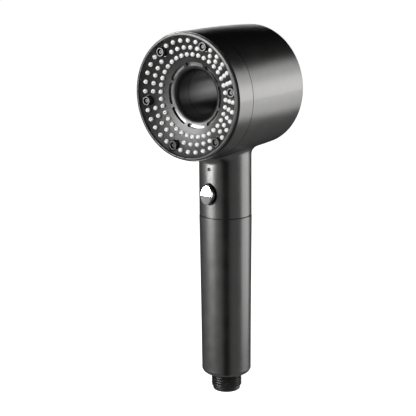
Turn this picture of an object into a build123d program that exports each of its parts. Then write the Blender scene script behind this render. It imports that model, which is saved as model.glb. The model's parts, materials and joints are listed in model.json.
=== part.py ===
"""Handheld shower head with a hollow drum-shaped head, a turning spray face and a filter grip.

Frame: millimetres, +Z up the handle. The origin is the centre of the threaded inlet end.
The head's axis runs along Y through (0, 0, HEAD_Z), and the spray face looks towards -Y.
Head outlines are pairs (radius, depth), where depth is the distance in front of the handle axis.
"""
import os
from math import asin, cos, radians, sin, sqrt

from build123d import *

os.makedirs("parts", exist_ok=True)

# ---------------------------------------------------------------- driving dimensions
HEAD_Z = 211.5            # height of the head's axis above the inlet end
BORE_R = 16.3             # open bore through the middle of the head

RING_R = 42.3             # outer radius at the front ring's front edge
RING_FRONT = 39.9
SHELL_FRONT_R = 42.25     # the shell meets the front ring here
SHELL_FRONT = 25.2
SHELL_MIDDLE_R = 42.25    # the shell is very slightly barrelled
SHELL_REAR_R = 41.1
SHELL_REAR = -32.8
SHELL_EDGE = 0.8          # rounding of the rear edge
WALL_FRONT_R = 39.8       # inside of the shell
WALL_REAR_R = 38.9
WALL_REAR = -29.6
RING_SEAM = 0.15          # open seam between the shell and the front ring
REAR_LEDGE_R = 35.9       # the rear cover rests on this ledge
REAR_LEDGE = -31.3
REAR_RIM_R = 37.4
REAR_RIM = -32.4
REAR_DISH_R = 110.0
REAR_LIP_R = 19.3

DISH_R = 70.5             # the spray face is part of a hollow sphere
DISH_CENTRE = 99.3        # depth of that sphere's centre
PLATE_T = 2.2
MAT_T = 1.35
GAP = 0.05                # running gap, and the gap between stacked pieces
DISH_RIM_R = 39.4
BEAD_BACK = 41.1          # back of the rim bead
LIP_R = 18.6              # the dish turns into the bore's rounded lip here
SLEEVE_R = 18.2
SLEEVE_END = 18.7
SKIRT_R = 40.2

NOZZLE_COUNT = 36         # places round the head
NOZZLE_PHASE = 9.14       # how far the face is turned, as seen from the front
NOZZLE_RINGS = (22.60, 26.83, 31.21)   # angles off the head's axis, seen from the dish's centre
NOZZLE_R = 1.5
NOZZLE_TIP_R = 0.95
NOZZLE_H = 1.5
NOZZLE_HOLE_R = 0.4
JET_COUNT = 6
JET_PCR = 35.5
JET_R = 3.2
JET_TOP = 40.2
JET_SHOULDER = 36.0
JET_BASE_R = 3.6
JET_BASE = 31.3
SLOT_COUNT = 8
SLOT_PCR = 20.7
SLOT_W = 2.4
SLOT_ARC = 33.0           # degrees between the centres of a slot's round ends
SLOT_PHASE = 1.4
NOTCH_COUNT = 5
NOTCH_R = 0.55

MODE_STEP = 20.0          # degrees between two spray modes
PORT_PCR = 29.15
CHAMBER_BACK = 23.3
OUTLET_FRONT = 22.9
OUTLET_BACK = 20.9
HOUSING_BACK = -8.0
HOUSING_R = 36.9
LINER_R = 17.8
LINER_BACK = -14.1
SCREW_PCR = 35.4
SCREW_COUNT = 6

NECK_R = 17.8
NECK_BORE = 15.3
SEAM_Z = 126.35
SEAM_HALF = 0.4
SEAM_FLOOR_R = 17.3       # bottom of the open seam between the neck and the grip
BUTTON_Z = 143.0
BUTTON_AXES = (4.7, 6.6)  # half width and half height
BUTTON_FRONT = 22.2
BUTTON_BACK = 13.7
BUTTON_RIDGE = 142.65     # height of the ridge between the two facets
BUTTON_LEAN = 1.6         # how far the upper facet falls back at its top
RECESS_AXES = (5.5, 7.4)
PIVOT_Y = -15.0
DOT_Z = 159.9
DOT_R = 1.25
DOT_FRONT = 17.5
DOT_HOLLOW_R = 2.0
SPOOL_R = 4.0
SPOOL_BORE = 4.05
FINGER_HALF = 1.2
GROOVE_HALF = 1.55
VALVE_LOW = 129.0
VALVE_TOP = 162.0
SPOOL_SEALS_Z = (135.0, 149.5)

GRIP_TOP_R = 17.93
GRIP_MID_R = 17.36
GRIP_MID_Z = 70.0
GRIP_LOW_R = 17.04
GRIP_LOW_Z = 17.2
GRIP_END_R = 14.2
GRIP_END = 13.0
GRIP_BORE = 14.6
FILTER_LOW = 36.0
FILTER_TOP = 108.0

THREAD_R = 10.4775        # G 1/2 outer radius
THREAD_LENGTH = 12.9
THREAD_CHAMFER = 0.9
INLET_BORE = 6.8
VALVE_POCKET = 8.0

HEAD_PLANE = Plane.XY.offset(HEAD_Z)
HEAD_AXIS = Axis((0, 0, HEAD_Z), (0, 1, 0))


# ---------------------------------------------------------------- shared shapes
def face_plane(depth):
    """A plane across the head's axis, seen from the front: x to the right, y up."""
    return Plane(origin=(0, -depth, HEAD_Z), x_dir=(1, 0, 0), z_dir=(0, -1, 0))


def turn_round_head(*outline, mode=Mode.ADD):
    """Turn a closed outline of (radius, depth) points round the head's axis."""
    with BuildSketch(HEAD_PLANE) as section:
        with BuildLine():
            Polyline(*[(radius, -depth) for radius, depth in outline], close=True)
        make_face()
    revolve(section.sketch, axis=HEAD_AXIS, mode=mode)


def turn_round_handle(*outline, mode=Mode.ADD):
    """Turn a closed outline of (radius, height) points round the handle's axis."""
    with BuildSketch(Plane.XZ) as section:
        with BuildLine():
            Polyline(*outline, close=True)
        make_face()
    revolve(section.sketch, axis=Axis.Z, mode=mode)


def stem(plane, radius, length, mode=Mode.ADD):
    """A round stem that starts on a plane and runs along its normal."""
    with Locations(plane.location):
        Cylinder(radius, length, align=(Align.CENTER, Align.CENTER, Align.MIN), mode=mode)


def dish_depth(radius, sphere=DISH_R):
    """Depth of the dish, or of a sphere about the same centre, at a radius from the axis."""
    return DISH_CENTRE - sqrt(sphere ** 2 - radius ** 2)


def dish_arc(start_r, end_r, sphere):
    """The arc of a dish between two radii, as three (x, y) points of the head plane."""
    middle = (start_r + end_r) / 2
    return [(r, -dish_depth(r, sphere)) for r in (start_r, middle, end_r)]


def dish_shell(inner_r, outer_r, front, back):
    """A part of a thick dish between two radii and two spheres."""
    with BuildSketch(HEAD_PLANE) as section:
        with BuildLine():
            ThreePointArc(*dish_arc(inner_r, outer_r, front))
            Line((outer_r, -dish_depth(outer_r, front)), (outer_r, -dish_depth(outer_r, back)))
            ThreePointArc(*dish_arc(outer_r, inner_r, back))
            Line((inner_r, -dish_depth(inner_r, back)), (inner_r, -dish_depth(inner_r, front)))
        make_face()
    revolve(section.sketch, axis=HEAD_AXIS)


def nozzle_plane(ring_angle, clock, sphere):
    """A plane on a sphere about the dish's centre, its normal pointing out of the face."""
    tilt = radians(ring_angle)
    turn = radians(clock)
    inward = Vector(sin(tilt) * cos(turn), cos(tilt), sin(tilt) * sin(turn))
    centre = Vector(0, -DISH_CENTRE, HEAD_Z)
    return Plane(origin=centre + inward * sphere, z_dir=inward * -1)


def jet_clocks():
    return [NOZZLE_PHASE + 360 / JET_COUNT * i for i in range(JET_COUNT)]


def nozzle_places():
    """Ring angle and clock angle of every rain nozzle: the jets take the place of some."""
    step = 360 / NOZZLE_COUNT
    jet_every = NOZZLE_COUNT // JET_COUNT
    for ring, angle in enumerate(NOZZLE_RINGS):
        for place in range(NOZZLE_COUNT):
            if ring == 0 or place % jet_every:
                yield angle, NOZZLE_PHASE + step * place


def on_face(radius, clock, depth):
    """A plane across the head's axis with its origin at a radius and a clock angle."""
    turn = radians(clock)
    return Plane(origin=(radius * cos(turn), -depth, HEAD_Z + radius * sin(turn)),
                 x_dir=(1, 0, 0), z_dir=(0, -1, 0))


def o_ring(axis_plane, ring_r, cord_r):
    """An O-ring round a plane's normal."""
    with Locations(axis_plane.location):
        Torus(ring_r, cord_r)


def coil(plane, radius, wire, length, turns):
    """A coil spring that starts on a plane and winds along its normal."""
    with BuildLine() as winding:
        Helix(length / turns, length, radius, center=plane.origin, direction=plane.z_dir)
    with BuildSketch(Plane(origin=winding.line @ 0, z_dir=winding.line % 0)) as section:
        Circle(wire)
    sweep(section.sketch, path=winding.line, is_frenet=True)


def write(builder, name):
    builder.part.label = name
    export_step(builder.part, f"parts/{name}.step")


# ================================================================ the turning spray face
# ---- spray face: dished plate, rim bead, skirt, rounded lip and the sleeve down the bore
lip_slope = asin(LIP_R / DISH_R)
lip_round = (LIP_R - BORE_R) / (1 - sin(lip_slope))
lip_centre = (BORE_R + lip_round, dish_depth(LIP_R) - lip_round * cos(lip_slope))
lip_turn = (radians(180) + radians(90) + lip_slope) / 2
lip_middle = (lip_centre[0] + lip_round * cos(lip_turn), lip_centre[1] + lip_round * sin(lip_turn))
bead_points = ((39.9, 42.4), (41.5, 42.0))

with BuildPart() as spray_face:
    with BuildSketch(HEAD_PLANE):
        with BuildLine():
            Line((BORE_R, -SLEEVE_END), (BORE_R, -lip_centre[1]))
            ThreePointArc((BORE_R, -lip_centre[1]), (lip_middle[0], -lip_middle[1]),
                          (LIP_R, -dish_depth(LIP_R)))
            ThreePointArc(*dish_arc(LIP_R, DISH_RIM_R, DISH_R))
            Polyline((DISH_RIM_R, -dish_depth(DISH_RIM_R)),
                     (bead_points[0][0], -bead_points[0][1]),
                     (bead_points[1][0], -bead_points[1][1]),
                     (bead_points[1][0], -BEAD_BACK),
                     (SKIRT_R, -BEAD_BACK),
                     (SKIRT_R, -30.2),
                     (39.3, -30.2),
                     (39.3, -dish_depth(39.3, DISH_R + PLATE_T)))
            ThreePointArc(*dish_arc(39.3, SLEEVE_R, DISH_R + PLATE_T))
            Polyline((SLEEVE_R, -dish_depth(SLEEVE_R, DISH_R + PLATE_T)),
                     (SLEEVE_R, -SLEEVE_END),
                     (BORE_R, -SLEEVE_END))
        make_face()
    revolve(axis=HEAD_AXIS)
    bead = spray_face.edges().filter_by(GeomType.CIRCLE).group_by(Axis.Y)[0]
    fillet(bead, 0.5)
    # holes for the nozzles
    with Locations(*[nozzle_plane(a, c, DISH_R + PLATE_T + 1).location for a, c in nozzle_places()]):
        Cylinder(NOZZLE_R + 0.1, PLATE_T + 2,
                 align=(Align.CENTER, Align.CENTER, Align.MIN), mode=Mode.SUBTRACT)
    # pockets round the power jets
    for clock in jet_clocks():
        stem(on_face(JET_PCR, clock, JET_BASE), JET_BASE_R + 0.1, 15, mode=Mode.SUBTRACT)
    # arc slots over the mist jets
    with BuildSketch(face_plane(27.5)):
        for i in range(SLOT_COUNT):
            start = SLOT_PHASE + 360 / SLOT_COUNT * i - SLOT_ARC / 2
            with BuildLine(mode=Mode.PRIVATE) as centre_line:
                CenterArc((0, 0), SLOT_PCR, start, SLOT_ARC)
            SlotArc(centre_line.edges()[0], SLOT_W)
    extrude(amount=10, mode=Mode.SUBTRACT)
    # finger notches across the rim bead, in line with the lower left jet
    notch_middle = NOZZLE_PHASE - 120
    for i in range(NOTCH_COUNT):
        clock = radians(notch_middle + 360 / NOZZLE_COUNT * (i - NOTCH_COUNT // 2))
        outward = Vector(cos(clock), 0, sin(clock))
        start = Vector(0, -42.5, HEAD_Z) + outward * 38.5
        stem(Plane(start, z_dir=outward), NOTCH_R, 5, mode=Mode.SUBTRACT)

# ---- soft nozzle mat with the rain nozzles that stand through the plate
mat_front = DISH_R + PLATE_T + GAP
mat_back = mat_front + MAT_T
with BuildPart() as nozzle_mat:
    dish_shell(24.6, 38.9, mat_front, mat_back)
    for clock in jet_clocks():
        stem(on_face(JET_PCR, clock, JET_BASE), JET_BASE_R + 0.2, 12, mode=Mode.SUBTRACT)
    rooted = mat_front + MAT_T / 2
    with Locations(*[nozzle_plane(a, c, rooted).location for a, c in nozzle_places()]):
        Cylinder(NOZZLE_R, rooted - DISH_R, align=(Align.CENTER, Align.CENTER, Align.MIN))
    with Locations(*[nozzle_plane(a, c, DISH_R).location for a, c in nozzle_places()]):
        Cone(NOZZLE_R, NOZZLE_TIP_R, NOZZLE_H, align=(Align.CENTER, Align.CENTER, Align.MIN))
    with Locations(*[nozzle_plane(a, c, mat_back + 1).location for a, c in nozzle_places()]):
        Cylinder(NOZZLE_HOLE_R, PLATE_T + NOZZLE_H + 4,
                 align=(Align.CENTER, Align.CENTER, Align.MIN), mode=Mode.SUBTRACT)

# ---- power jets: six barrels, and the restrictor inside each
with BuildPart() as jet_barrels:
    for clock in jet_clocks():
        stem(on_face(JET_PCR, clock, JET_BASE), JET_BASE_R, JET_SHOULDER - JET_BASE)
        stem(on_face(JET_PCR, clock, JET_SHOULDER), JET_R, JET_TOP - JET_SHOULDER)
    chamfer(jet_barrels.edges().filter_by(GeomType.CIRCLE).group_by(Axis.Y)[0], 0.45)
    for clock in jet_clocks():
        stem(on_face(JET_PCR, clock, JET_TOP - 1.9), 2.35, 5, mode=Mode.SUBTRACT)
        stem(on_face(JET_PCR, clock, JET_BASE - 1), 1.5, 10, mode=Mode.SUBTRACT)

with BuildPart() as jet_restrictors:
    for clock in jet_clocks():
        stem(on_face(JET_PCR, clock, JET_BASE), 1.45, JET_TOP - JET_BASE - 0.9)
    chamfer(jet_restrictors.edges().filter_by(GeomType.CIRCLE).group_by(Axis.Y)[0], 0.4)
    for clock in jet_clocks():
        stem(on_face(JET_PCR, clock, JET_BASE - 1), 0.6, 12, mode=Mode.SUBTRACT)

# ---- mist ring behind the arc slots, with a fine hole at each slot's end
with BuildPart() as mist_ring:
    dish_shell(19.0, 23.0, mat_front, mat_front + 1.15)
    for i in range(SLOT_COUNT):
        for side in (-0.5, 0.5):
            clock = SLOT_PHASE + 360 / SLOT_COUNT * i + SLOT_ARC * side
            stem(on_face(SLOT_PCR, clock, 25), 0.45, 10, mode=Mode.SUBTRACT)

# ---- chamber plate: closes the face behind and splits it into the water chambers
with BuildPart() as chamber_plate:
    turn_round_head((18.9, CHAMBER_BACK), (37.5, CHAMBER_BACK), (37.5, 29.9), (39.25, 29.9),
                    (39.25, 31.2), (35.9, 31.2), (35.9, 25.2), (24.4, 25.2), (24.4, 29.3),
                    (23.2, 29.3), (23.2, 25.2), (20.0, 25.2), (20.0, 27.6), (18.9, 27.6))
    for mode_place in range(3):
        clock = -90 - MODE_STEP * mode_place
        stem(on_face(PORT_PCR, clock, CHAMBER_BACK - 1), 2.2, 5, mode=Mode.SUBTRACT)
        with Locations(on_face(PORT_PCR, clock + 180, CHAMBER_BACK - 1.0).location):
            Sphere(1.8, mode=Mode.SUBTRACT)

# ---- ring nut on the sleeve that holds the face to the head
with BuildPart() as face_retainer:
    turn_round_head((SLEEVE_R + GAP, 18.9), (21.8, 18.9), (21.8, 20.5), (SLEEVE_R + GAP, 20.5))
    for i in range(6):
        stem(on_face(21.8, 60 * i, 18.0), 1.0, 4, mode=Mode.SUBTRACT)

# ================================================================ head shell and its inside
# ---- head shell and neck in one moulding
with BuildPart() as head_shell:
    shell_middle = (SHELL_FRONT + SHELL_REAR) / 2
    with BuildSketch(HEAD_PLANE):
        with BuildLine():
            Line((0, -SHELL_FRONT), (SHELL_FRONT_R, -SHELL_FRONT))
            ThreePointArc((SHELL_FRONT_R, -SHELL_FRONT), (SHELL_MIDDLE_R, -shell_middle),
                          (SHELL_REAR_R, -SHELL_REAR))
            Polyline((SHELL_REAR_R, -SHELL_REAR), (0, -SHELL_REAR), (0, -SHELL_FRONT))
        make_face()
    revolve(axis=HEAD_AXIS)
    with BuildSketch(Plane.XY.offset(SEAM_Z + SEAM_HALF)):
        Circle(NECK_R)
    extrude(amount=HEAD_Z - SEAM_Z - 20)
    join = head_shell.edges().filter_by_position(Axis.Z, SEAM_Z + 10, HEAD_Z - 30).filter_by(
        lambda edge: abs(edge.center().Y) < SHELL_FRONT - 1 and edge.geom_type != GeomType.LINE)
    fillet(join, 6.0)
    fillet(head_shell.edges().filter_by(GeomType.CIRCLE).group_by(Axis.Y)[-1], SHELL_EDGE)
    turn_round_head((0, SHELL_FRONT + 1), (WALL_FRONT_R, SHELL_FRONT + 1), (WALL_FRONT_R, 20.8),
                    (37.9, 20.8), (37.9, 18.8), (WALL_FRONT_R, 18.8), (WALL_REAR_R, WALL_REAR),
                    (REAR_LEDGE_R, WALL_REAR), (REAR_LEDGE_R, REAR_LEDGE),
                    (REAR_RIM_R + 0.1, REAR_LEDGE), (REAR_RIM_R + 0.1, SHELL_REAR - 1),
                    (0, SHELL_REAR - 1), mode=Mode.SUBTRACT)
    with BuildSketch(Plane.XY.offset(SEAM_Z)):
        Circle(NECK_BORE)
    extrude(amount=HEAD_Z - SEAM_Z - 10, mode=Mode.SUBTRACT)
    with BuildSketch(Plane.XZ.offset(10)):
        with Locations((0, BUTTON_Z)):
            Ellipse(RECESS_AXES[0] + 0.4, RECESS_AXES[1] + 0.4)
    extrude(amount=15, mode=Mode.SUBTRACT)
    stem(Plane((0, -10, DOT_Z), z_dir=(0, -1, 0)), DOT_R + GAP, 12, mode=Mode.SUBTRACT)

# ---- smooth ring between the shell and the face
with BuildPart() as front_ring:
    turn_round_head((SHELL_FRONT_R, SHELL_FRONT + RING_SEAM), (RING_R, RING_FRONT), (41.75, RING_FRONT),
                    (41.75, 38.6), (40.6, 38.6), (40.6, 29.5), (37.9, 29.5),
                    (37.9, 23.0), (39.7, 23.0), (39.7, SHELL_FRONT + RING_SEAM))
    chamfer(front_ring.edges().filter_by(GeomType.CIRCLE).group_by(Axis.Y)[0].sort_by(
        SortBy.RADIUS)[-1], 0.35)
    chamfer(front_ring.edges().filter_by(GeomType.CIRCLE).filter_by(
        lambda edge: abs(edge.radius - SHELL_FRONT_R) < 0.01), 0.3)

# ---- black wiper ring in the groove behind the face's rim
with BuildPart() as wiper_ring:
    turn_round_head((40.65, 38.65), (41.7, 38.65), (41.7, 40.3), (41.3, 40.6), (40.65, 40.6))

# ---- outlet plate: carries the spring-loaded port seal, the click pin and the sleeve's O-ring
with BuildPart() as outlet_plate:
    turn_round_head((18.7, OUTLET_BACK), (39.7, OUTLET_BACK), (39.7, OUTLET_FRONT),
                    (18.7, OUTLET_FRONT), (18.7, 22.55), (19.5, 22.55), (19.5, 21.25), (18.7, 21.25))
    for clock in (-90, 90):
        stem(on_face(PORT_PCR, clock, 14), 4.4, 7.5)
    stem(on_face(PORT_PCR, -90, 15), 3.3, 10, mode=Mode.SUBTRACT)
    stem(on_face(PORT_PCR, -90, 13), 2.0, 10, mode=Mode.SUBTRACT)
    stem(on_face(PORT_PCR, 90, 15), 1.85, 10, mode=Mode.SUBTRACT)
    for i in range(SCREW_COUNT):
        place = on_face(SCREW_PCR, 30 + 60 * i, OUTLET_BACK - 1)
        stem(place, 1.25, 5, mode=Mode.SUBTRACT)
        with Locations(on_face(SCREW_PCR, 30 + 60 * i, OUTLET_FRONT).location):
            Cone(1.25, 2.3, 1.2, align=(Align.CENTER, Align.CENTER, Align.MAX), mode=Mode.SUBTRACT)

with BuildPart() as outlet_screws:
    for i in range(SCREW_COUNT):
        clock = 30 + 60 * i
        stem(on_face(SCREW_PCR, clock, 12.5), 1.2, OUTLET_FRONT - 12.5 - 0.2)
        with Locations(on_face(SCREW_PCR, clock, OUTLET_FRONT - 0.1).location):
            Cone(1.2, 2.1, 1.1, align=(Align.CENTER, Align.CENTER, Align.MAX))
        with Locations(on_face(SCREW_PCR, clock, OUTLET_FRONT - 0.1).location):
            Box(0.5, 2.4, 1.2, mode=Mode.SUBTRACT)
            Box(2.4, 0.5, 1.2, mode=Mode.SUBTRACT)

with BuildPart() as port_seal:
    stem(on_face(PORT_PCR, -90, 18.4), 3.2, 4.5)
    stem(on_face(PORT_PCR, -90, 18), 2.0, 6, mode=Mode.SUBTRACT)

with BuildPart() as port_spring:
    coil(on_face(PORT_PCR, -90, 15.4), 2.6, 0.3, 2.6, 3)

with BuildPart() as click_pin:
    stem(on_face(PORT_PCR, 90, 18.6), 1.8, 2.5)
    with Locations(on_face(PORT_PCR, 90, 21.1).location):
        Sphere(1.8)

with BuildPart() as click_spring:
    coil(on_face(PORT_PCR, 90, 15.4), 1.4, 0.25, 2.9, 4)

with BuildPart() as sleeve_seal:
    o_ring(face_plane(21.9), SLEEVE_R + GAP + 0.6, 0.6)

# ---- water housing: ring channel that feeds the outlet plate, with a spigot down to the riser
with BuildPart() as water_housing:
    turn_round_head((17.9, HOUSING_BACK), (HOUSING_R, HOUSING_BACK), (HOUSING_R, 20.8),
                    (33.9, 20.8), (33.9, -6.0), (24.4, -6.0), (24.4, 20.8), (22.6, 20.8),
                    (22.6, -6.0), (17.9, -6.0))
    with BuildSketch(Plane.XY.offset(168.2)):
        Circle(5.0)
    extrude(amount=8.5)
    with BuildSketch(Plane.XY.offset(168)):
        Circle(3.4)
    extrude(amount=12, mode=Mode.SUBTRACT)
    for i in range(SCREW_COUNT):
        stem(on_face(SCREW_PCR, 30 + 60 * i, 12), 1.22, 10, mode=Mode.SUBTRACT)

# ---- liner of the bore, and the dished rear cover with its own rounded lip
with BuildPart() as bore_liner:
    turn_round_head((BORE_R, 18.35), (LINER_R, 18.35), (LINER_R, LINER_BACK), (BORE_R, LINER_BACK))


def rear_depth(radius):
    return REAR_RIM + sqrt(REAR_DISH_R ** 2 - radius ** 2) - sqrt(REAR_DISH_R ** 2 - REAR_RIM_R ** 2)


with BuildPart() as rear_cover:
    middle_r = (REAR_RIM_R + REAR_LIP_R) / 2
    lip_drop = REAR_LIP_R - BORE_R
    lip_back = rear_depth(REAR_LIP_R)
    with BuildSketch(HEAD_PLANE):
        with BuildLine():
            ThreePointArc((REAR_RIM_R, -REAR_RIM), (middle_r, -rear_depth(middle_r)),
                          (REAR_LIP_R, -lip_back))
            ThreePointArc((REAR_LIP_R, -lip_back),
                          (REAR_LIP_R - lip_drop * sin(radians(45)),
                           -lip_back - lip_drop * (1 - cos(radians(45)))),
                          (BORE_R, -lip_back - lip_drop))
            Polyline((BORE_R, -lip_back - lip_drop), (BORE_R, GAP - LINER_BACK),
                     (LINER_R, GAP - LINER_BACK), (18.4, 25.6), (21.0, 25.6),
                     (REAR_LEDGE_R - 0.2, 30.3), (REAR_LEDGE_R - 0.2, GAP - REAR_LEDGE),
                     (REAR_RIM_R, GAP - REAR_LEDGE), (REAR_RIM_R, -REAR_RIM))
        make_face()
    revolve(axis=HEAD_AXIS)

# ================================================================ stop valve in the neck
# ---- bezel round the rocker's recess
with BuildPart() as button_bezel:
    with BuildSketch(Plane.XZ.offset(10.4)):
        with Locations((0, BUTTON_Z)):
            Ellipse(RECESS_AXES[0] + 0.35, RECESS_AXES[1] + 0.35)
    extrude(amount=8)
    with BuildSketch(Plane.XZ.offset(10.4)):
        with Locations((0, BUTTON_Z)):
            Ellipse(RECESS_AXES[0] + 1.5, RECESS_AXES[1] + 1.2)
    extrude(amount=2.6)
    with Locations((0, 0, BUTTON_Z)):
        Cylinder(NECK_R - 0.15, 30, mode=Mode.INTERSECT)
    with BuildSketch(Plane.XZ.offset(11.6)):
        with Locations((0, BUTTON_Z)):
            Ellipse(*RECESS_AXES)
    extrude(amount=8, mode=Mode.SUBTRACT)
    with Locations((0, -11, BUTTON_Z + 0.6)):
        Box(3.2, 4, 5.2, mode=Mode.SUBTRACT)
    with Locations(Plane((-6, PIVOT_Y, BUTTON_Z), z_dir=(1, 0, 0)).location):
        Cylinder(0.82, 12, align=(Align.CENTER, Align.CENTER, Align.MIN), mode=Mode.SUBTRACT)

with BuildPart() as button_pin:
    stem(Plane((-5.2, PIVOT_Y, BUTTON_Z), z_dir=(1, 0, 0)), 0.8, 10.4)

# ---- rocker button: lower half upright, upper half leaning back, with a finger to the spool
with BuildPart() as stop_button:
    with BuildSketch(Plane.XZ.offset(BUTTON_BACK)):
        with Locations((0, BUTTON_Z)):
            Ellipse(*BUTTON_AXES)
    extrude(amount=BUTTON_FRONT - BUTTON_BACK)
    fillet(stop_button.faces().sort_by(Axis.Y)[0].edges(), 0.6)
    with BuildSketch(Plane.YZ.offset(-10)):
        with BuildLine():
            Polyline((-BUTTON_FRONT, BUTTON_RIDGE),
                     (-BUTTON_FRONT + BUTTON_LEAN, BUTTON_Z + BUTTON_AXES[1]),
                     (-BUTTON_FRONT + BUTTON_LEAN, BUTTON_Z + 9),
                     (-BUTTON_FRONT - 2, BUTTON_Z + 9), (-BUTTON_FRONT - 2, BUTTON_RIDGE),
                     close=True)
        make_face()
    extrude(amount=20, mode=Mode.SUBTRACT)
    with Locations((0, -BUTTON_BACK + 0.5, BUTTON_Z)):
        Box(2 * FINGER_HALF, BUTTON_BACK - 2.8, 2 * FINGER_HALF,
            align=(Align.CENTER, Align.MIN, Align.CENTER))
    with Locations((0, -BUTTON_BACK - 0.5, BUTTON_Z)):
        Box(2 * FINGER_HALF, 2, 2 * FINGER_HALF, align=(Align.CENTER, Align.MIN, Align.CENTER))
    stem(Plane((-6, PIVOT_Y, BUTTON_Z), z_dir=(1, 0, 0)), 0.85, 12, mode=Mode.SUBTRACT)

with BuildPart() as valve_body:
    turn_round_handle((SPOOL_BORE, VALVE_LOW), (6.2, VALVE_LOW), (6.2, 132.7), (15.15, 132.7),
                      (15.15, 134.5), (6.2, 134.5), (6.2, VALVE_TOP), (SPOOL_BORE, VALVE_TOP))
    with BuildSketch(Plane.XZ.offset(5.0)):
        with Locations((0, BUTTON_Z + 0.6)):
            RectangleRounded(6.4, 9.2, 1.5)
    extrude(amount=5.35)
    with Locations((0, -8.0, BUTTON_Z + 0.9)):
        Box(3.2, 9.6, 6.4, mode=Mode.SUBTRACT)
    with PolarLocations(10.7, 6, start_angle=30):
        with Locations((0, 0, 133.6)):
            Cylinder(2.2, 3, mode=Mode.SUBTRACT)
    with Locations((0, 0, 157.0)):
        Box(14, 3.4, 6, mode=Mode.SUBTRACT)
        Box(3.4, 14, 6, mode=Mode.SUBTRACT)

with BuildPart() as valve_spool:
    groove_low = BUTTON_Z - GROOVE_HALF
    groove_top = BUTTON_Z + GROOVE_HALF
    turn_round_handle((0, 130), (SPOOL_R, 130), (SPOOL_R, groove_low), (2.0, groove_low),
                      (2.0, groove_top), (SPOOL_R, groove_top), (SPOOL_R, 151.0), (1.8, 151.0),
                      (1.8, 158.0), (3.4, 158.0), (3.4, 159.0), (0, 159.0))
    for height in SPOOL_SEALS_Z:
        turn_round_handle((3.1, height - 0.9), (4.2, height - 0.9), (4.2, height + 0.9),
                          (3.1, height + 0.9), mode=Mode.SUBTRACT)

with BuildPart() as spool_seals:
    for height in SPOOL_SEALS_Z:
        with Locations((0, 0, height)):
            Torus(3.55, 0.44)

with BuildPart() as spool_pad:
    turn_round_handle((0, 159.05), (3.3, 159.05), (3.3, 159.9), (0, 159.9))

with BuildPart() as valve_seat:
    turn_round_handle((2.4, VALVE_TOP + GAP), (6.2, VALVE_TOP + GAP), (6.2, 165), (2.4, 165))

with BuildPart() as riser_tube:
    turn_round_handle((3.4, 165.05), (6.2, 165.05), (6.2, 172.0), (5.05, 172.0), (5.05, 168.0),
                      (3.4, 168.0))

# ---- round dimple above the rocker that marks the stop position
with BuildPart() as indicator_dot:
    stem(Plane((0, -15.0, DOT_Z), z_dir=(0, -1, 0)), DOT_R, DOT_FRONT - 15.0)
    with Locations((0, -DOT_FRONT - 1.7, DOT_Z)):
        Sphere(DOT_HOLLOW_R, mode=Mode.SUBTRACT)

# ================================================================ grip, filter and inlet
with BuildPart() as grip_nipple:
    turn_round_handle((13.0, 116.2), (15.2, 116.2), (15.2, SEAM_Z - SEAM_HALF + 0.02),
                      (SEAM_FLOOR_R, SEAM_Z - SEAM_HALF + 0.02),
                      (SEAM_FLOOR_R, SEAM_Z + SEAM_HALF - 0.02),
                      (15.2, SEAM_Z + SEAM_HALF - 0.02), (15.2, 132.6), (13.0, 132.6))
    for height in (121.0, 129.7):
        turn_round_handle((14.0, height - 1), (16, height - 1), (16, height + 1), (14.0, height + 1),
                          mode=Mode.SUBTRACT)

with BuildPart() as nipple_seals:
    for height in (121.0, 129.7):
        with Locations((0, 0, height)):
            Torus(14.6, 0.58)

with BuildPart() as grip_sleeve:
    with BuildSketch(Plane.XZ):
        with BuildLine():
            Polyline((THREAD_R + 0.15, GRIP_END), (GRIP_END_R, GRIP_END))
            ThreePointArc((GRIP_END_R, GRIP_END), (GRIP_LOW_R - 0.75, GRIP_END + 1.35),
                          (GRIP_LOW_R, GRIP_LOW_Z))
            ThreePointArc((GRIP_LOW_R, GRIP_LOW_Z), (GRIP_MID_R, GRIP_MID_Z),
                          (GRIP_TOP_R, SEAM_Z - SEAM_HALF))
            Polyline((GRIP_TOP_R, SEAM_Z - SEAM_HALF), (NECK_BORE, SEAM_Z - SEAM_HALF),
                     (NECK_BORE, 116.0), (GRIP_BORE, 116.0), (GRIP_BORE, 18.0),
                     (THREAD_R + 0.15, 18.0), (THREAD_R + 0.15, GRIP_END))
        make_face()
    revolve(axis=Axis.Z)

with BuildPart() as filter_tube:
    turn_round_handle((12.3, FILTER_LOW), (13.5, FILTER_LOW), (13.5, FILTER_TOP), (12.3, FILTER_TOP))
with BuildPart() as filter_element:
    turn_round_handle((4.5, FILTER_LOW + 0.3), (12.2, FILTER_LOW + 0.3), (12.2, FILTER_TOP - 0.3),
                      (4.5, FILTER_TOP - 0.3))
with BuildPart() as filter_top_cap:
    turn_round_handle((3.5, FILTER_TOP + GAP), (14.4, FILTER_TOP + GAP), (14.4, 112.0), (3.5, 112.0))
with BuildPart() as filter_bottom_cap:
    turn_round_handle((4.0, 32.0), (14.4, 32.0), (14.4, FILTER_LOW - GAP), (4.0, FILTER_LOW - GAP))
    with PolarLocations(9.5, 8):
        with Locations((0, 0, 33)):
            Cylinder(1.6, 8, mode=Mode.SUBTRACT)

# ---- threaded inlet with its strainer, flow regulator and non-return valve
with BuildPart() as inlet_connector:
    turn_round_handle((INLET_BORE, 0), (THREAD_R - THREAD_CHAMFER, 0), (THREAD_R, THREAD_CHAMFER),
                      (THREAD_R, THREAD_LENGTH), (10.2, THREAD_LENGTH), (10.2, 18.1), (14.4, 18.1),
                      (14.4, 21.0), (9.6, 21.0), (9.6, 30.0), (VALVE_POCKET, 30.0),
                      (VALVE_POCKET, 8.0), (INLET_BORE, 8.0))

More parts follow.
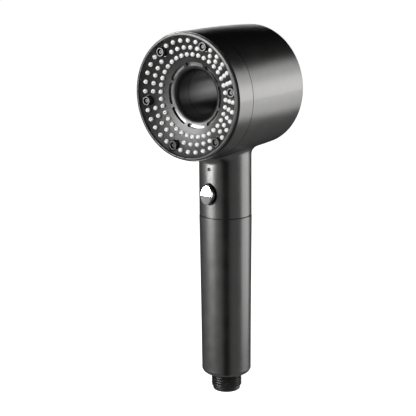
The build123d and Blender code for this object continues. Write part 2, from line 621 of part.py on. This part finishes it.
with BuildPart() as inlet_screen:
    with BuildSketch(Plane.XY.offset(8.1)):
        Circle(7.9)
        with GridLocations(1.6, 1.6, 7, 7):
            Rectangle(1.1, 1.1, mode=Mode.SUBTRACT)
        with BuildSketch(mode=Mode.PRIVATE) as band:
            Circle(7.9)
            Circle(6.6, mode=Mode.SUBTRACT)
        add(band.sketch)
    extrude(amount=0.6)

with BuildPart() as flow_regulator:
    turn_round_handle((0, 9.0), (7.9, 9.0), (7.9, 12.0), (0, 12.0))
    with PolarLocations(4.6, 8):
        with Locations((0, 0, 10.5)):
            Cylinder(1.1, 4, mode=Mode.SUBTRACT)

with BuildPart() as check_valve_body:
    turn_round_handle((4.0, 12.4), (7.9, 12.4), (7.9, 26.5), (1.25, 26.5), (1.25, 24.5),
                      (6.4, 24.5), (6.4, 14.0), (4.0, 14.0))
    with PolarLocations(4.2, 5):
        with Locations((0, 0, 25.5)):
            Cylinder(1.5, 4, mode=Mode.SUBTRACT)

with BuildPart() as check_poppet:
    turn_round_handle((0, 14.05), (5.2, 14.05), (5.2, 15.6), (1.2, 16.4), (1.2, 27.0), (0, 27.0))

with BuildPart() as check_spring:
    coil(Plane.XY.offset(16.8), 2.3, 0.3, 7.3, 5)

# ---------------------------------------------------------------- the written pieces
PIECES = {
    "spray_face": spray_face, "nozzle_mat": nozzle_mat, "jet_barrels": jet_barrels,
    "jet_restrictors": jet_restrictors, "mist_ring": mist_ring, "chamber_plate": chamber_plate,
    "face_retainer": face_retainer, "head_shell": head_shell, "front_ring": front_ring,
    "wiper_ring": wiper_ring, "outlet_plate": outlet_plate, "outlet_screws": outlet_screws,
    "port_seal": port_seal, "port_spring": port_spring, "click_pin": click_pin,
    "click_spring": click_spring, "sleeve_seal": sleeve_seal, "water_housing": water_housing,
    "bore_liner": bore_liner, "rear_cover": rear_cover, "button_bezel": button_bezel,
    "button_pin": button_pin, "stop_button": stop_button, "valve_body": valve_body,
    "valve_spool": valve_spool, "spool_seals": spool_seals, "spool_pad": spool_pad,
    "valve_seat": valve_seat, "riser_tube": riser_tube, "indicator_dot": indicator_dot,
    "grip_nipple": grip_nipple, "nipple_seals": nipple_seals, "grip_sleeve": grip_sleeve,
    "filter_tube": filter_tube, "filter_element": filter_element,
    "filter_top_cap": filter_top_cap, "filter_bottom_cap": filter_bottom_cap,
    "inlet_connector": inlet_connector, "inlet_screen": inlet_screen,
    "flow_regulator": flow_regulator, "check_valve_body": check_valve_body,
    "check_poppet": check_poppet, "check_spring": check_spring,
}
for node_name, piece in PIECES.items():
    write(piece, node_name)
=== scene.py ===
"""The look of the handheld shower head: its materials, the finely shaped pieces, camera and studio.

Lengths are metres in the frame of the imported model: +Z runs up the handle, the spray face looks
towards -Y, and the origin is the centre of the threaded inlet's end.
"""

import json
from math import asin, cos, pi, radians, sin, sqrt

import bpy
from mathutils import Matrix, Vector


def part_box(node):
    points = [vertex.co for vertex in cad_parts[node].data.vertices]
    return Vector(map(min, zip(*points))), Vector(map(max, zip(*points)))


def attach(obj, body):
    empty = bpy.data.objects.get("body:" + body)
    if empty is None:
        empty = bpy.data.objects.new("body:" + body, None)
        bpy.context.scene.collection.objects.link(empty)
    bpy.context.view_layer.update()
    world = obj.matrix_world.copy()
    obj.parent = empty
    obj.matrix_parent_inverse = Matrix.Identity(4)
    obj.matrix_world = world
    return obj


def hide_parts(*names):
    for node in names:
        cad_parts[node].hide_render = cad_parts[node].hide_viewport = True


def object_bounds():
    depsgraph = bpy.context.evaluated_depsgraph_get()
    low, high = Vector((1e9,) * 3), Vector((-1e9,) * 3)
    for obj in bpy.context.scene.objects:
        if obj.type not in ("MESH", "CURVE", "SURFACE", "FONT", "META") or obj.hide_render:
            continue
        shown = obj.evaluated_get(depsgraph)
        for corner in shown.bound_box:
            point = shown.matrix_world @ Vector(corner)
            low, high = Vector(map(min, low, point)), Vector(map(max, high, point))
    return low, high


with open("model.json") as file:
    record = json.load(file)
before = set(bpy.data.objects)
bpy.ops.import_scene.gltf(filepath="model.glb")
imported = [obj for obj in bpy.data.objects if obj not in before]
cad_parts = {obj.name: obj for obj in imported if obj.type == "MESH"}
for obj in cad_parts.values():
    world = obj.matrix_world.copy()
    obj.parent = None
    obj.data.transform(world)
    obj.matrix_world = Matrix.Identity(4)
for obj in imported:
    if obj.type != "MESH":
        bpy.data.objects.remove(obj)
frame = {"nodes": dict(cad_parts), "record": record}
nodes = frame["nodes"]
cad_low, cad_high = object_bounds()

MM = 0.001

# ---------------------------------------------------------------- places worked out from the frame
face_low, face_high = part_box("spray_face")
HEAD_Z = (face_low.z + face_high.z) / 2
BUTTON_LOW, BUTTON_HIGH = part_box("stop_button")

# ---------------------------------------------------------------- the dish and its nozzles
DISH_R = 70.5 * MM
DISH_CENTRE = Vector((0, -99.3 * MM, HEAD_Z))
NOZZLE_PHASE = 9.14
NOZZLE_RINGS = (22.60, 26.83, 31.21)
NOZZLE_PLACES = 36
JET_EVERY = 6

# ---------------------------------------------------------------- the inlet's pipe thread (G 1/2)
THREAD_R = 10.4775 * MM
THREAD_PITCH = 1.814 * MM
THREAD_DEPTH = 1.16 * MM


# ================================================================ node helpers
def new_material(name, **settings):
    """A node material and its Principled shader, with plain settings put on the shader's sockets."""
    material = bpy.data.materials.new(name)
    material.use_nodes = True
    tree = material.node_tree
    shader = tree.nodes["Principled BSDF"]
    for socket, value in settings.items():
        shader.inputs[socket.replace("_", " ")].default_value = value
    return material, tree, shader


def object_space(tree):
    return tree.nodes.new("ShaderNodeTexCoord").outputs["Object"]


def noise(tree, size, detail=2.0, stretch=(1, 1, 1)):
    """Noise from 0 to 1 with features of about this size, drawn out along an axis by stretch."""
    mapping = tree.nodes.new("ShaderNodeMapping")
    mapping.inputs["Scale"].default_value = stretch
    tree.links.new(object_space(tree), mapping.inputs["Vector"])
    texture = tree.nodes.new("ShaderNodeTexNoise")
    texture.inputs["Scale"].default_value = 1 / size
    texture.inputs["Detail"].default_value = detail
    tree.links.new(mapping.outputs["Vector"], texture.inputs["Vector"])
    return texture.outputs["Fac"]


def remap(tree, value, low, high, start=0.3, end=0.7):
    """Carries start..end of a value to low..high."""
    node = tree.nodes.new("ShaderNodeMapRange")
    node.inputs["From Min"].default_value = start
    node.inputs["From Max"].default_value = end
    node.inputs["To Min"].default_value = low
    node.inputs["To Max"].default_value = high
    tree.links.new(value, node.inputs["Value"])
    return node.outputs["Result"]


def blend_colours(tree, factor, first, second):
    node = tree.nodes.new("ShaderNodeMix")
    node.data_type = "RGBA"
    node.inputs[6].default_value = (*first, 1)
    node.inputs[7].default_value = (*second, 1)
    tree.links.new(factor, node.inputs["Factor"])
    return node.outputs[2]


def relief(tree, shader, height, depth):
    """Raises the surface by a height from 0 to 1 times depth."""
    bump = tree.nodes.new("ShaderNodeBump")
    bump.inputs["Distance"].default_value = depth
    bump.inputs["Strength"].default_value = 1.0
    tree.links.new(height, bump.inputs["Height"])
    tree.links.new(bump.outputs["Normal"], shader.inputs["Normal"])


def grey(value, warmth=0.0):
    return (value * (1 + warmth), value, value * (1 - warmth))


def grained(name, dark, light, gloss, grain, depth, patch=9 * MM, **settings):
    """A surface with fine grain in colour and relief, and slow patches in its gloss."""
    material, tree, shader = new_material(name, **settings)
    fine = noise(tree, grain, detail=3)
    slow = noise(tree, patch, detail=2)
    tint = tree.nodes.new("ShaderNodeMath")
    tint.operation = "MULTIPLY_ADD"
    tint.inputs[1].default_value = 0.6
    tree.links.new(fine, tint.inputs[0])
    tree.links.new(remap(tree, slow, 0.0, 0.4), tint.inputs[2])
    tree.links.new(blend_colours(tree, tint.outputs[0], dark, light), shader.inputs["Base Color"])
    tree.links.new(remap(tree, slow, *gloss), shader.inputs["Roughness"])
    relief(tree, shader, fine, depth)
    return material


# ================================================================ materials, one for each finish
def gunmetal():
    """Satin metallic coating over blasted plastic."""
    return grained("gunmetal", grey(0.155, 0.01), grey(0.19, 0.01), gloss=(0.29, 0.33),
                   grain=0.45 * MM, depth=0.002 * MM, Metallic=1.0)


def bore_painted_shade():
    """The same coating as the body, made darker down the bore as painted shade: the dark of the bore's
    inside is painted into its colour.
    """
    return grained("bore_painted_shade", grey(0.055), grey(0.07), gloss=(0.32, 0.38), grain=0.45 * MM,
                   depth=0.002 * MM, Metallic=1.0)


def face_grey():
    """Dark satin plate with the fine spark-eroded grain of its mould."""
    return grained("face_grey", grey(0.055), grey(0.068), gloss=(0.36, 0.42),
                   grain=0.3 * MM, depth=0.003 * MM, Metallic=0.9)


def nozzle_silicone():
    """White silicone: soft, faintly see-through and matt."""
    return grained("nozzle_silicone", (0.90, 0.90, 0.89), (0.94, 0.94, 0.93), gloss=(0.45, 0.55),
                   grain=0.25 * MM, depth=0.002 * MM, Subsurface_Weight=0.25,
                   Subsurface_Radius=(0.6, 0.55, 0.5), Subsurface_Scale=1 * MM)


def jet_black():
    return grained("jet_black", grey(0.010), grey(0.016), gloss=(0.16, 0.24), grain=0.4 * MM,
                   depth=0.001 * MM)


def mist_grey():
    return grained("mist_grey", grey(0.30), grey(0.36), gloss=(0.3, 0.4), grain=0.3 * MM,
                   depth=0.002 * MM, Metallic=0.4)


def inner_plastic():
    """Unpainted moulding: pale, waxy, with faint flow marks."""
    material, tree, shader = new_material("inner_plastic")
    flow = noise(tree, 3 * MM, detail=4, stretch=(1, 1, 0.25))
    grain = noise(tree, 0.3 * MM)
    tree.links.new(blend_colours(tree, flow, (0.50, 0.50, 0.48), (0.60, 0.60, 0.575)),
                   shader.inputs["Base Color"])
    tree.links.new(remap(tree, flow, 0.4, 0.52), shader.inputs["Roughness"])
    relief(tree, shader, grain, 0.003 * MM)
    return material


def seal_rubber():
    """Black rubber with a dusty bloom."""
    return grained("seal_rubber", grey(0.014), grey(0.028), gloss=(0.5, 0.68), grain=0.35 * MM,
                   depth=0.006 * MM, patch=2 * MM)


def spring_steel():
    """Drawn wire and turned pins: fine lines along the metal."""
    material, tree, shader = new_material("spring_steel", Metallic=1.0)
    lines = noise(tree, 0.2 * MM, detail=3, stretch=(1, 1, 6))
    tree.links.new(blend_colours(tree, lines, (0.50, 0.50, 0.51), (0.62, 0.62, 0.63)),
                   shader.inputs["Base Color"])
    tree.links.new(remap(tree, lines, 0.2, 0.34), shader.inputs["Roughness"])
    relief(tree, shader, lines, 0.003 * MM)
    return material


def button_chrome():
    """Bright chrome with hair-thin rub marks across it."""
    material, tree, shader = new_material("button_chrome", Metallic=1.0)
    rubs = noise(tree, 0.7 * MM, detail=4, stretch=(0.3, 1, 3))
    tree.links.new(blend_colours(tree, rubs, (0.80, 0.80, 0.81), (0.88, 0.88, 0.89)),
                   shader.inputs["Base Color"])
    tree.links.new(remap(tree, rubs, 0.07, 0.13), shader.inputs["Roughness"])
    relief(tree, shader, rubs, 0.0008 * MM)
    return material


def black_plastic():
    return grained("black_plastic", grey(0.010), grey(0.020), gloss=(0.3, 0.4), grain=0.3 * MM,
                   depth=0.003 * MM)


def inlet_black():
    """Black moulded thread, polished on its crests by use."""
    return grained("inlet_black", grey(0.014), grey(0.026), gloss=(0.22, 0.34), grain=0.5 * MM,
                   depth=0.003 * MM, patch=2.5 * MM)


def filter_clear():
    """Clear cartridge tube with faint moulding waves."""
    material, tree, shader = new_material("filter_clear", Alpha=0.45)
    waves = noise(tree, 6 * MM, detail=2, stretch=(1, 1, 0.3))
    tree.links.new(blend_colours(tree, waves, (0.70, 0.76, 0.78), (0.80, 0.84, 0.86)),
                   shader.inputs["Base Color"])
    tree.links.new(remap(tree, waves, 0.08, 0.16), shader.inputs["Roughness"])
    relief(tree, shader, waves, 0.02 * MM)
    return material


def filter_cotton():
    """Melt-blown fibre: threads laid round the core."""
    material, tree, shader = new_material("filter_cotton")
    threads = noise(tree, 0.5 * MM, detail=6, stretch=(0.5, 0.5, 3))
    tree.links.new(blend_colours(tree, threads, (0.78, 0.77, 0.73), (0.92, 0.91, 0.89)),
                   shader.inputs["Base Color"])
    tree.links.new(remap(tree, threads, 0.8, 0.95), shader.inputs["Roughness"])
    relief(tree, shader, threads, 0.15 * MM)
    return material


FINISHES = {
    "body_gunmetal": gunmetal(), "face_grey": face_grey(), "nozzle_white": nozzle_silicone(),
    "jet_black": jet_black(), "mist_grey": mist_grey(), "inner_plastic": inner_plastic(),
    "seal_rubber": seal_rubber(), "spring_steel": spring_steel(), "button_chrome": button_chrome(),
    "black_plastic": black_plastic(), "inlet_black": inlet_black(), "filter_clear": filter_clear(),
    "filter_cotton": filter_cotton(),
}
SLOT_OF = {part["node"]: part["material_slot"] for part in frame["record"]["subparts"]}


def paint(obj, slot):
    obj.data.materials.clear()
    obj.data.materials.append(FINISHES[slot])


for node_name, node in nodes.items():
    paint(node, SLOT_OF[node_name])
# the bore liner gets the darker coating, which paints the shade inside the bore into its colour
nodes["bore_liner"].data.materials.clear()
nodes["bore_liner"].data.materials.append(bore_painted_shade())


# ================================================================ mesh helpers
class Mesh:
    """Points and faces gathered from several surfaces, then made into one object."""

    def __init__(self):
        self.points = []
        self.faces = []

    def add_rings(self, rings, closed=False):
        """Joins rings with the same number of points each by quads, the last to the first if closed."""
        start = len(self.points)
        count = len(rings[0])
        for ring in rings:
            self.points.extend(ring)
        for i in range(len(rings) if closed else len(rings) - 1):
            here = start + i * count
            there = start + (i + 1) % len(rings) * count
            for j in range(count):
                k = (j + 1) % count
                self.faces.append((here + j, here + k, there + k, there + j))

    def make(self, name, node, body):
        """The object that stands for a CAD node."""
        mesh = bpy.data.meshes.new(name)
        mesh.from_pydata([tuple(p) for p in self.points], [], self.faces)
        mesh.validate()
        mesh.update()
        obj = bpy.data.objects.new(name, mesh)
        bpy.context.scene.collection.objects.link(obj)
        mesh.shade_smooth()
        paint(obj, SLOT_OF[node])
        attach(obj, body)
        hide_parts(node)
        return obj


def full_turn(count):
    """Evenly spaced angles of one turn."""
    return [2 * pi * j / count for j in range(count)]


def ring(radius, height, count, frame_of=Matrix.Identity(4)):
    """Points round the local Z axis of a frame."""
    return [frame_of @ Vector((radius * cos(t), radius * sin(t), height)) for t in full_turn(count)]


def outward_frame(ring_angle, clock):
    """A frame on the dish at a nozzle: its origin on the surface, local Z pointing out of the face."""
    tilt = radians(ring_angle)
    turn = radians(clock)
    inward = Vector((sin(tilt) * cos(turn), cos(tilt), sin(tilt) * sin(turn)))
    spin = (-inward).to_track_quat("Z", "Y").to_matrix().to_4x4()
    return Matrix.Translation(DISH_CENTRE + inward * DISH_R) @ spin


# ================================================================ soft nozzles
NOZZLE_SIDES = 28
# outline of one nozzle, (radius, height above the plate) in millimetres, from its foot to the hole
NOZZLE_OUTLINE = (
    (1.50, -3.0), (1.50, 0.0), (1.49, 0.20), (1.45, 0.45), (1.36, 0.75), (1.24, 1.02), (1.08, 1.25),
    (0.90, 1.40), (0.72, 1.475), (0.55, 1.49), (0.44, 1.45), (0.40, 1.35), (0.38, 0.6), (0.38, -3.0),
)
MAT_FRONT = DISH_R + 2.25 * MM
MAT_BACK = DISH_R + 3.6 * MM
MAT_EDGES = (24.6 * MM, 38.9 * MM)
MAT_SIDES = 144
MAT_STEPS = 6             # quads across the mat, from its inner edge to its outer one


def dish_point(radius, sphere, clock):
    depth = sqrt(sphere ** 2 - radius ** 2)
    return DISH_CENTRE + Vector((radius * cos(clock), depth, radius * sin(clock)))


def nozzle_mat():
    """The silicone mat behind the plate, with its rain nozzles standing through it."""
    mesh = Mesh()
    for number, ring_angle in enumerate(NOZZLE_RINGS):
        for place in range(NOZZLE_PLACES):
            if number and place % JET_EVERY == 0:
                continue
            stand = outward_frame(ring_angle, NOZZLE_PHASE + 360 / NOZZLE_PLACES * place)
            mesh.add_rings([ring(r * MM, h * MM, NOZZLE_SIDES, stand) for r, h in NOZZLE_OUTLINE],
                           closed=True)
    inner, outer = MAT_EDGES
    radii = [inner + (outer - inner) * i / MAT_STEPS for i in range(MAT_STEPS + 1)]
    section = [(r, MAT_FRONT) for r in radii] + [(r, MAT_BACK) for r in reversed(radii)]
    mesh.add_rings([[dish_point(r, sphere, turn) for turn in full_turn(MAT_SIDES)]
                    for r, sphere in section], closed=True)
    return mesh.make("soft_nozzles", "nozzle_mat", "face")


# ================================================================ threaded inlet
THREAD_SIDES = 160
THREAD_START = 1.9 * MM
THREAD_END = 12.4 * MM
THREAD_STEPS = 88
CREST_SHAPE = 0.8         # below 1 the crests are broader than the roots
FADE_IN = 0.8             # run-out at the lower and upper end, in pitches
FADE_OUT = 0.5
COLLAR_R = 9.45 * MM      # plain collar below the thread
LEAD_ROUND = 1.1 * MM
LEAD_STEPS = 6
# bore and flange, (radius, height) in millimetres, from the flange down to the mouth
BORE_OUTLINE = ((14.4, 18.1), (14.4, 21.0), (9.6, 21.0), (9.6, 30.0), (8.0, 30.0), (8.0, 8.0),
                (6.8, 8.0), (6.8, 0.5), (7.0, 0.15), (7.3, 0.0))
NECK_OUTLINE = ((10.2, 12.7), (10.2, 18.1))


def thread_radius(turn, height):
    """Radius of the pipe thread: rounded crests, fading out towards both ends."""
    phase = height / THREAD_PITCH - turn / (2 * pi)
    crest = 0.5 + 0.5 * cos(2 * pi * phase)
    shape = crest ** CREST_SHAPE
    fade_in = min(1, max(0, (height - THREAD_START) / (FADE_IN * THREAD_PITCH)))
    fade_out = min(1, max(0, (THREAD_END - height) / (FADE_OUT * THREAD_PITCH)))
    root = THREAD_R - THREAD_DEPTH
    return root + THREAD_DEPTH * shape * fade_in * fade_out


def inlet():
    """The inlet connector with its real thread, rounded lead and stepped bore."""
    mesh = Mesh()
    rings = [ring(r * MM, z * MM, THREAD_SIDES) for r, z in BORE_OUTLINE]
    for i in range(LEAD_STEPS + 1):
        turn = pi / 2 * i / LEAD_STEPS
        radius = COLLAR_R - LEAD_ROUND * (1 - sin(turn))
        rings.append(ring(radius, LEAD_ROUND * (1 - cos(turn)), THREAD_SIDES))
    low = THREAD_START * 0.85
    for i in range(THREAD_STEPS + 1):
        z = low + (THREAD_END - low) * i / THREAD_STEPS
        polar = [(thread_radius(turn, z), turn) for turn in full_turn(THREAD_SIDES)]
        rings.append([Vector((r * cos(turn), r * sin(turn), z)) for r, turn in polar])
    rings += [ring(r * MM, z * MM, THREAD_SIDES) for r, z in NECK_OUTLINE]
    mesh.add_rings(rings, closed=True)
    return mesh.make("threaded_inlet", "inlet_connector", "head")


# ================================================================ rocker button
BUTTON_FRONT = 22.2 * MM
BUTTON_RIDGE = 142.65 * MM
BUTTON_LEAN = 1.6 * MM
BUTTON_ROUND = 0.75 * MM
BUTTON_WALL = 16.0 * MM   # a row of points part of the way down the side wall
BUTTON_BACK = 13.7 * MM
BUTTON_MIDDLE = (BUTTON_HIGH.z + BUTTON_LOW.z) / 2
FACET_SIDES = 64
FACET_ROWS = (0, 0.2, 0.4, 0.6, 0.8, 0.92, 0.985, 1)   # shares of the way from ridge to edge
ROUND_STEPS = 8
FINGER_HALF = 1.2 * MM
FINGER_FRONT = 14.0 * MM
FINGER_TIP = 2.4 * MM


def button_facet(mesh, upper):
    """Half of the rocker: its flat facet, the rounding beside it and the wall down to its back."""
    half_width = BUTTON_HIGH.x
    half_height = (BUTTON_HIGH.z - BUTTON_LOW.z) / 2
    first = asin((BUTTON_RIDGE - BUTTON_MIDDLE) / half_height)
    span = (pi - 2 * first) if upper else (pi + 2 * first)
    start = first if upper else pi - first
    lean = BUTTON_LEAN / (BUTTON_HIGH.z - BUTTON_RIDGE) if upper else 0.0
    columns = []
    for j in range(FACET_SIDES + 1):
        turn = start + span * j / FACET_SIDES
        rim = Vector((half_width * cos(turn), 0, BUTTON_MIDDLE + half_height * sin(turn)))
        outward = Vector((cos(turn) / half_width, 0, sin(turn) / half_height)).normalized()
        edge = rim - outward * BUTTON_ROUND
        column = []
        for share in FACET_ROWS:
            z = BUTTON_RIDGE + (edge.z - BUTTON_RIDGE) * share
            column.append(Vector((edge.x, lean * (z - BUTTON_RIDGE) - BUTTON_FRONT, z)))
        for i in range(1, ROUND_STEPS + 1):
            bend = pi / 2 * i / ROUND_STEPS
            point = edge + outward * (BUTTON_ROUND * sin(bend))
            y = BUTTON_ROUND * (1 - cos(bend)) - BUTTON_FRONT + lean * (edge.z - BUTTON_RIDGE)
            column.append(Vector((point.x, y, point.z)))
        column.append(Vector((rim.x, -BUTTON_WALL, rim.z)))
        column.append(Vector((rim.x, -BUTTON_BACK, rim.z)))
        column.append(Vector((0, -BUTTON_BACK, BUTTON_MIDDLE)))
        columns.append(column)
    base = len(mesh.points)
    rows = len(columns[0])
    for column in columns:
        mesh.points.extend(column)
    for j in range(len(columns) - 1):
        for i in range(rows - 1):
            corner = base + j * rows + i
            mesh.faces.append((corner, corner + 1, corner + rows + 1, corner + rows))


def rocker():
    """The rocker button with a crisp ridge between two facets, and its finger to the spool."""
    mesh = Mesh()
    button_facet(mesh, True)
    button_facet(mesh, False)
    corners = ((-1, -1), (1, -1), (1, 1), (-1, 1))
    square = [(x * FINGER_HALF, BUTTON_MIDDLE + z * FINGER_HALF) for x, z in corners]
    mesh.add_rings([[Vector((x, -y, z)) for x, z in square] for y in (FINGER_FRONT, FINGER_TIP)])
    start = len(mesh.points)
    mesh.points.extend(Vector((x, -FINGER_TIP, z)) for x, z in square)
    mesh.faces.append(tuple(range(start, start + 4)))
    return mesh.make("rocker_cap", "stop_button", "button")


nozzle_mat()
inlet()
rocker()

# ================================================================ camera
CAMERA_AIM = Vector((-9.4, -7.4, 130.25)) * MM
CAMERA_DISTANCE = 0.9158
CAMERA_AZIMUTH = 38.135
CAMERA_ELEVATION = 13.326
CAMERA_ROLL = -0.518
SENSOR = 36.0
LENS = 116.12


def sight_line(azimuth, elevation):
    """Unit vector from the object towards a viewer; azimuth 0 stands in front of the spray face."""
    a, e = radians(azimuth), radians(elevation)
    return Vector((sin(a) * cos(e), -cos(a) * cos(e), sin(e)))


def looking_back(aim, out, distance):
    """The placing of a camera or lamp that looks at aim from this distance along out."""
    return Matrix.Translation(aim + out * distance) @ out.to_track_quat("Z", "Y").to_matrix().to_4x4()


def place_camera():
    back = sight_line(CAMERA_AZIMUTH, CAMERA_ELEVATION)
    data = bpy.data.cameras.new("camera")
    data.lens = LENS
    data.sensor_width = SENSOR
    data.clip_start = 0.01
    camera = bpy.data.objects.new("camera", data)
    roll = Matrix.Rotation(radians(CAMERA_ROLL), 4, "Z")
    camera.matrix_world = looking_back(CAMERA_AIM, back, CAMERA_DISTANCE) @ roll
    bpy.context.scene.collection.objects.link(camera)
    bpy.context.scene.camera = camera


place_camera()

# ================================================================ studio
STUDIO_AIM = Vector((0, 0, 0.15))
STUDIO_DISTANCE = 0.95
DIM_BELOW = 0.28          # strength of the surroundings below and above eye level
DARK_ABOVE = 0.02
DARK_BEHIND = 0.1         # what is left of them on the side away from the camera
STRIP_EDGE = radians(21)  # the dark strip on the camera's side: half width, and of its black middle
STRIP_CORE = radians(12)
FLOOR_HALF = 3.0


def softbox(name, azimuth, elevation, width, height, radiance, mirrored=True, distance=STUDIO_DISTANCE):
    """A rectangular lamp that faces the object; one that isn't mirrored gives no highlight."""
    data = bpy.data.lights.new(name, "AREA")
    data.shape = "RECTANGLE"
    data.size = width
    data.size_y = height
    data.energy = radiance * pi * width * height
    lamp = bpy.data.objects.new(name, data)
    lamp.matrix_world = looking_back(STUDIO_AIM, sight_line(azimuth, elevation), distance)
    lamp.visible_camera = False
    lamp.visible_glossy = mirrored
    bpy.context.scene.collection.objects.link(lamp)
    return lamp


def studio():
    key = softbox("key_left", -31, 9, 0.55, 0.56, 17.0)
    key.visible_diffuse = False
    softbox("rim_right", 142, 4, 0.55, 0.3, 1.4)
    softbox("rim_right_wide", 137, 1, 0.9, 0.95, 1.9, distance=0.97)
    softbox("top_back", 215, 12, 0.3, 0.2, 1.5)
    softbox("face_fill", 10, 25, 0.9, 0.9, 4.6, mirrored=False, distance=1.0)


def math_node(tree, operation, first, second):
    """A Math node on two values, each a socket or a number."""
    node = tree.nodes.new("ShaderNodeMath")
    node.operation = operation
    for socket, value in zip(node.inputs, (first, second)):
        if isinstance(value, (int, float)):
            socket.default_value = value
        else:
            tree.links.new(value, socket)
    return node.outputs[0]


def vector_node(tree, operation, vector, other=None):
    """A Vector Math node on a socket and, if given, a constant vector."""
    node = tree.nodes.new("ShaderNodeVectorMath")
    node.operation = operation
    tree.links.new(vector, node.inputs[0])
    if other is not None:
        node.inputs[1].default_value = other
    return node.outputs


def backdrop():
    """White where the camera sees it. It lights the object from below, dark above and behind.

    A dark strip on the camera's side, fixed in the studio, is mirrored as the handle's dark line.
    """
    world = bpy.data.worlds.new("studio")
    world.use_nodes = True
    tree = world.node_tree
    surface = tree.nodes["Background"]
    surface.inputs["Color"].default_value = (1, 1, 1, 1)
    direction = tree.nodes.new("ShaderNodeTexCoord").outputs["Generated"]
    split = tree.nodes.new("ShaderNodeSeparateXYZ")
    tree.links.new(direction, split.inputs[0])
    below = remap(tree, split.outputs["Z"], DIM_BELOW, DARK_ABOVE, start=-0.12, end=0.1)
    level = vector_node(tree, "MULTIPLY", direction, (1, 1, 0))["Vector"]
    heading = vector_node(tree, "NORMALIZE", level)["Vector"]
    camera_side = sight_line(CAMERA_AZIMUTH, 0)
    towards = vector_node(tree, "DOT_PRODUCT", heading, camera_side)["Value"]
    away = vector_node(tree, "DOT_PRODUCT", level, camera_side)["Value"]
    strip = remap(tree, towards, 1.0, 0.0, start=cos(STRIP_EDGE), end=cos(STRIP_CORE))
    behind = remap(tree, away, DARK_BEHIND, 1.0, start=-0.9, end=-0.45)
    path = tree.nodes.new("ShaderNodeLightPath")
    shaped = math_node(tree, "MULTIPLY", math_node(tree, "MULTIPLY", below, strip), behind)
    seen = math_node(tree, "MAXIMUM", shaped, path.outputs["Is Camera Ray"])
    tree.links.new(seen, surface.inputs["Strength"])
    bpy.context.scene.world = world


def floor():
    """A wide pale floor under the inlet's end, lit from within to the backdrop's white."""
    mesh = bpy.data.meshes.new("floor")
    corners = ((-1, -1), (1, -1), (1, 1), (-1, 1))
    mesh.from_pydata([(x * FLOOR_HALF, y * FLOOR_HALF, 0) for x, y in corners], [], [(0, 1, 2, 3)])
    obj = bpy.data.objects.new("floor", mesh)
    obj.location.z = cad_low.z - 0.02 * MM
    bpy.context.scene.collection.objects.link(obj)
    material, tree, shader = new_material("floor_paper", Roughness=0.9)
    tree.links.new(blend_colours(tree, noise(tree, 0.02), (0.86, 0.86, 0.86), (0.88, 0.88, 0.88)),
                   shader.inputs["Base Color"])
    shader.inputs["Emission Color"].default_value = (1, 1, 1, 1)
    shader.inputs["Emission Strength"].default_value = 1.0
    obj.data.materials.append(material)
    obj.visible_glossy = False
    obj.visible_diffuse = False
    obj.visible_shadow = False


studio()
backdrop()
floor()
bpy.context.scene.view_settings.view_transform = "Standard"
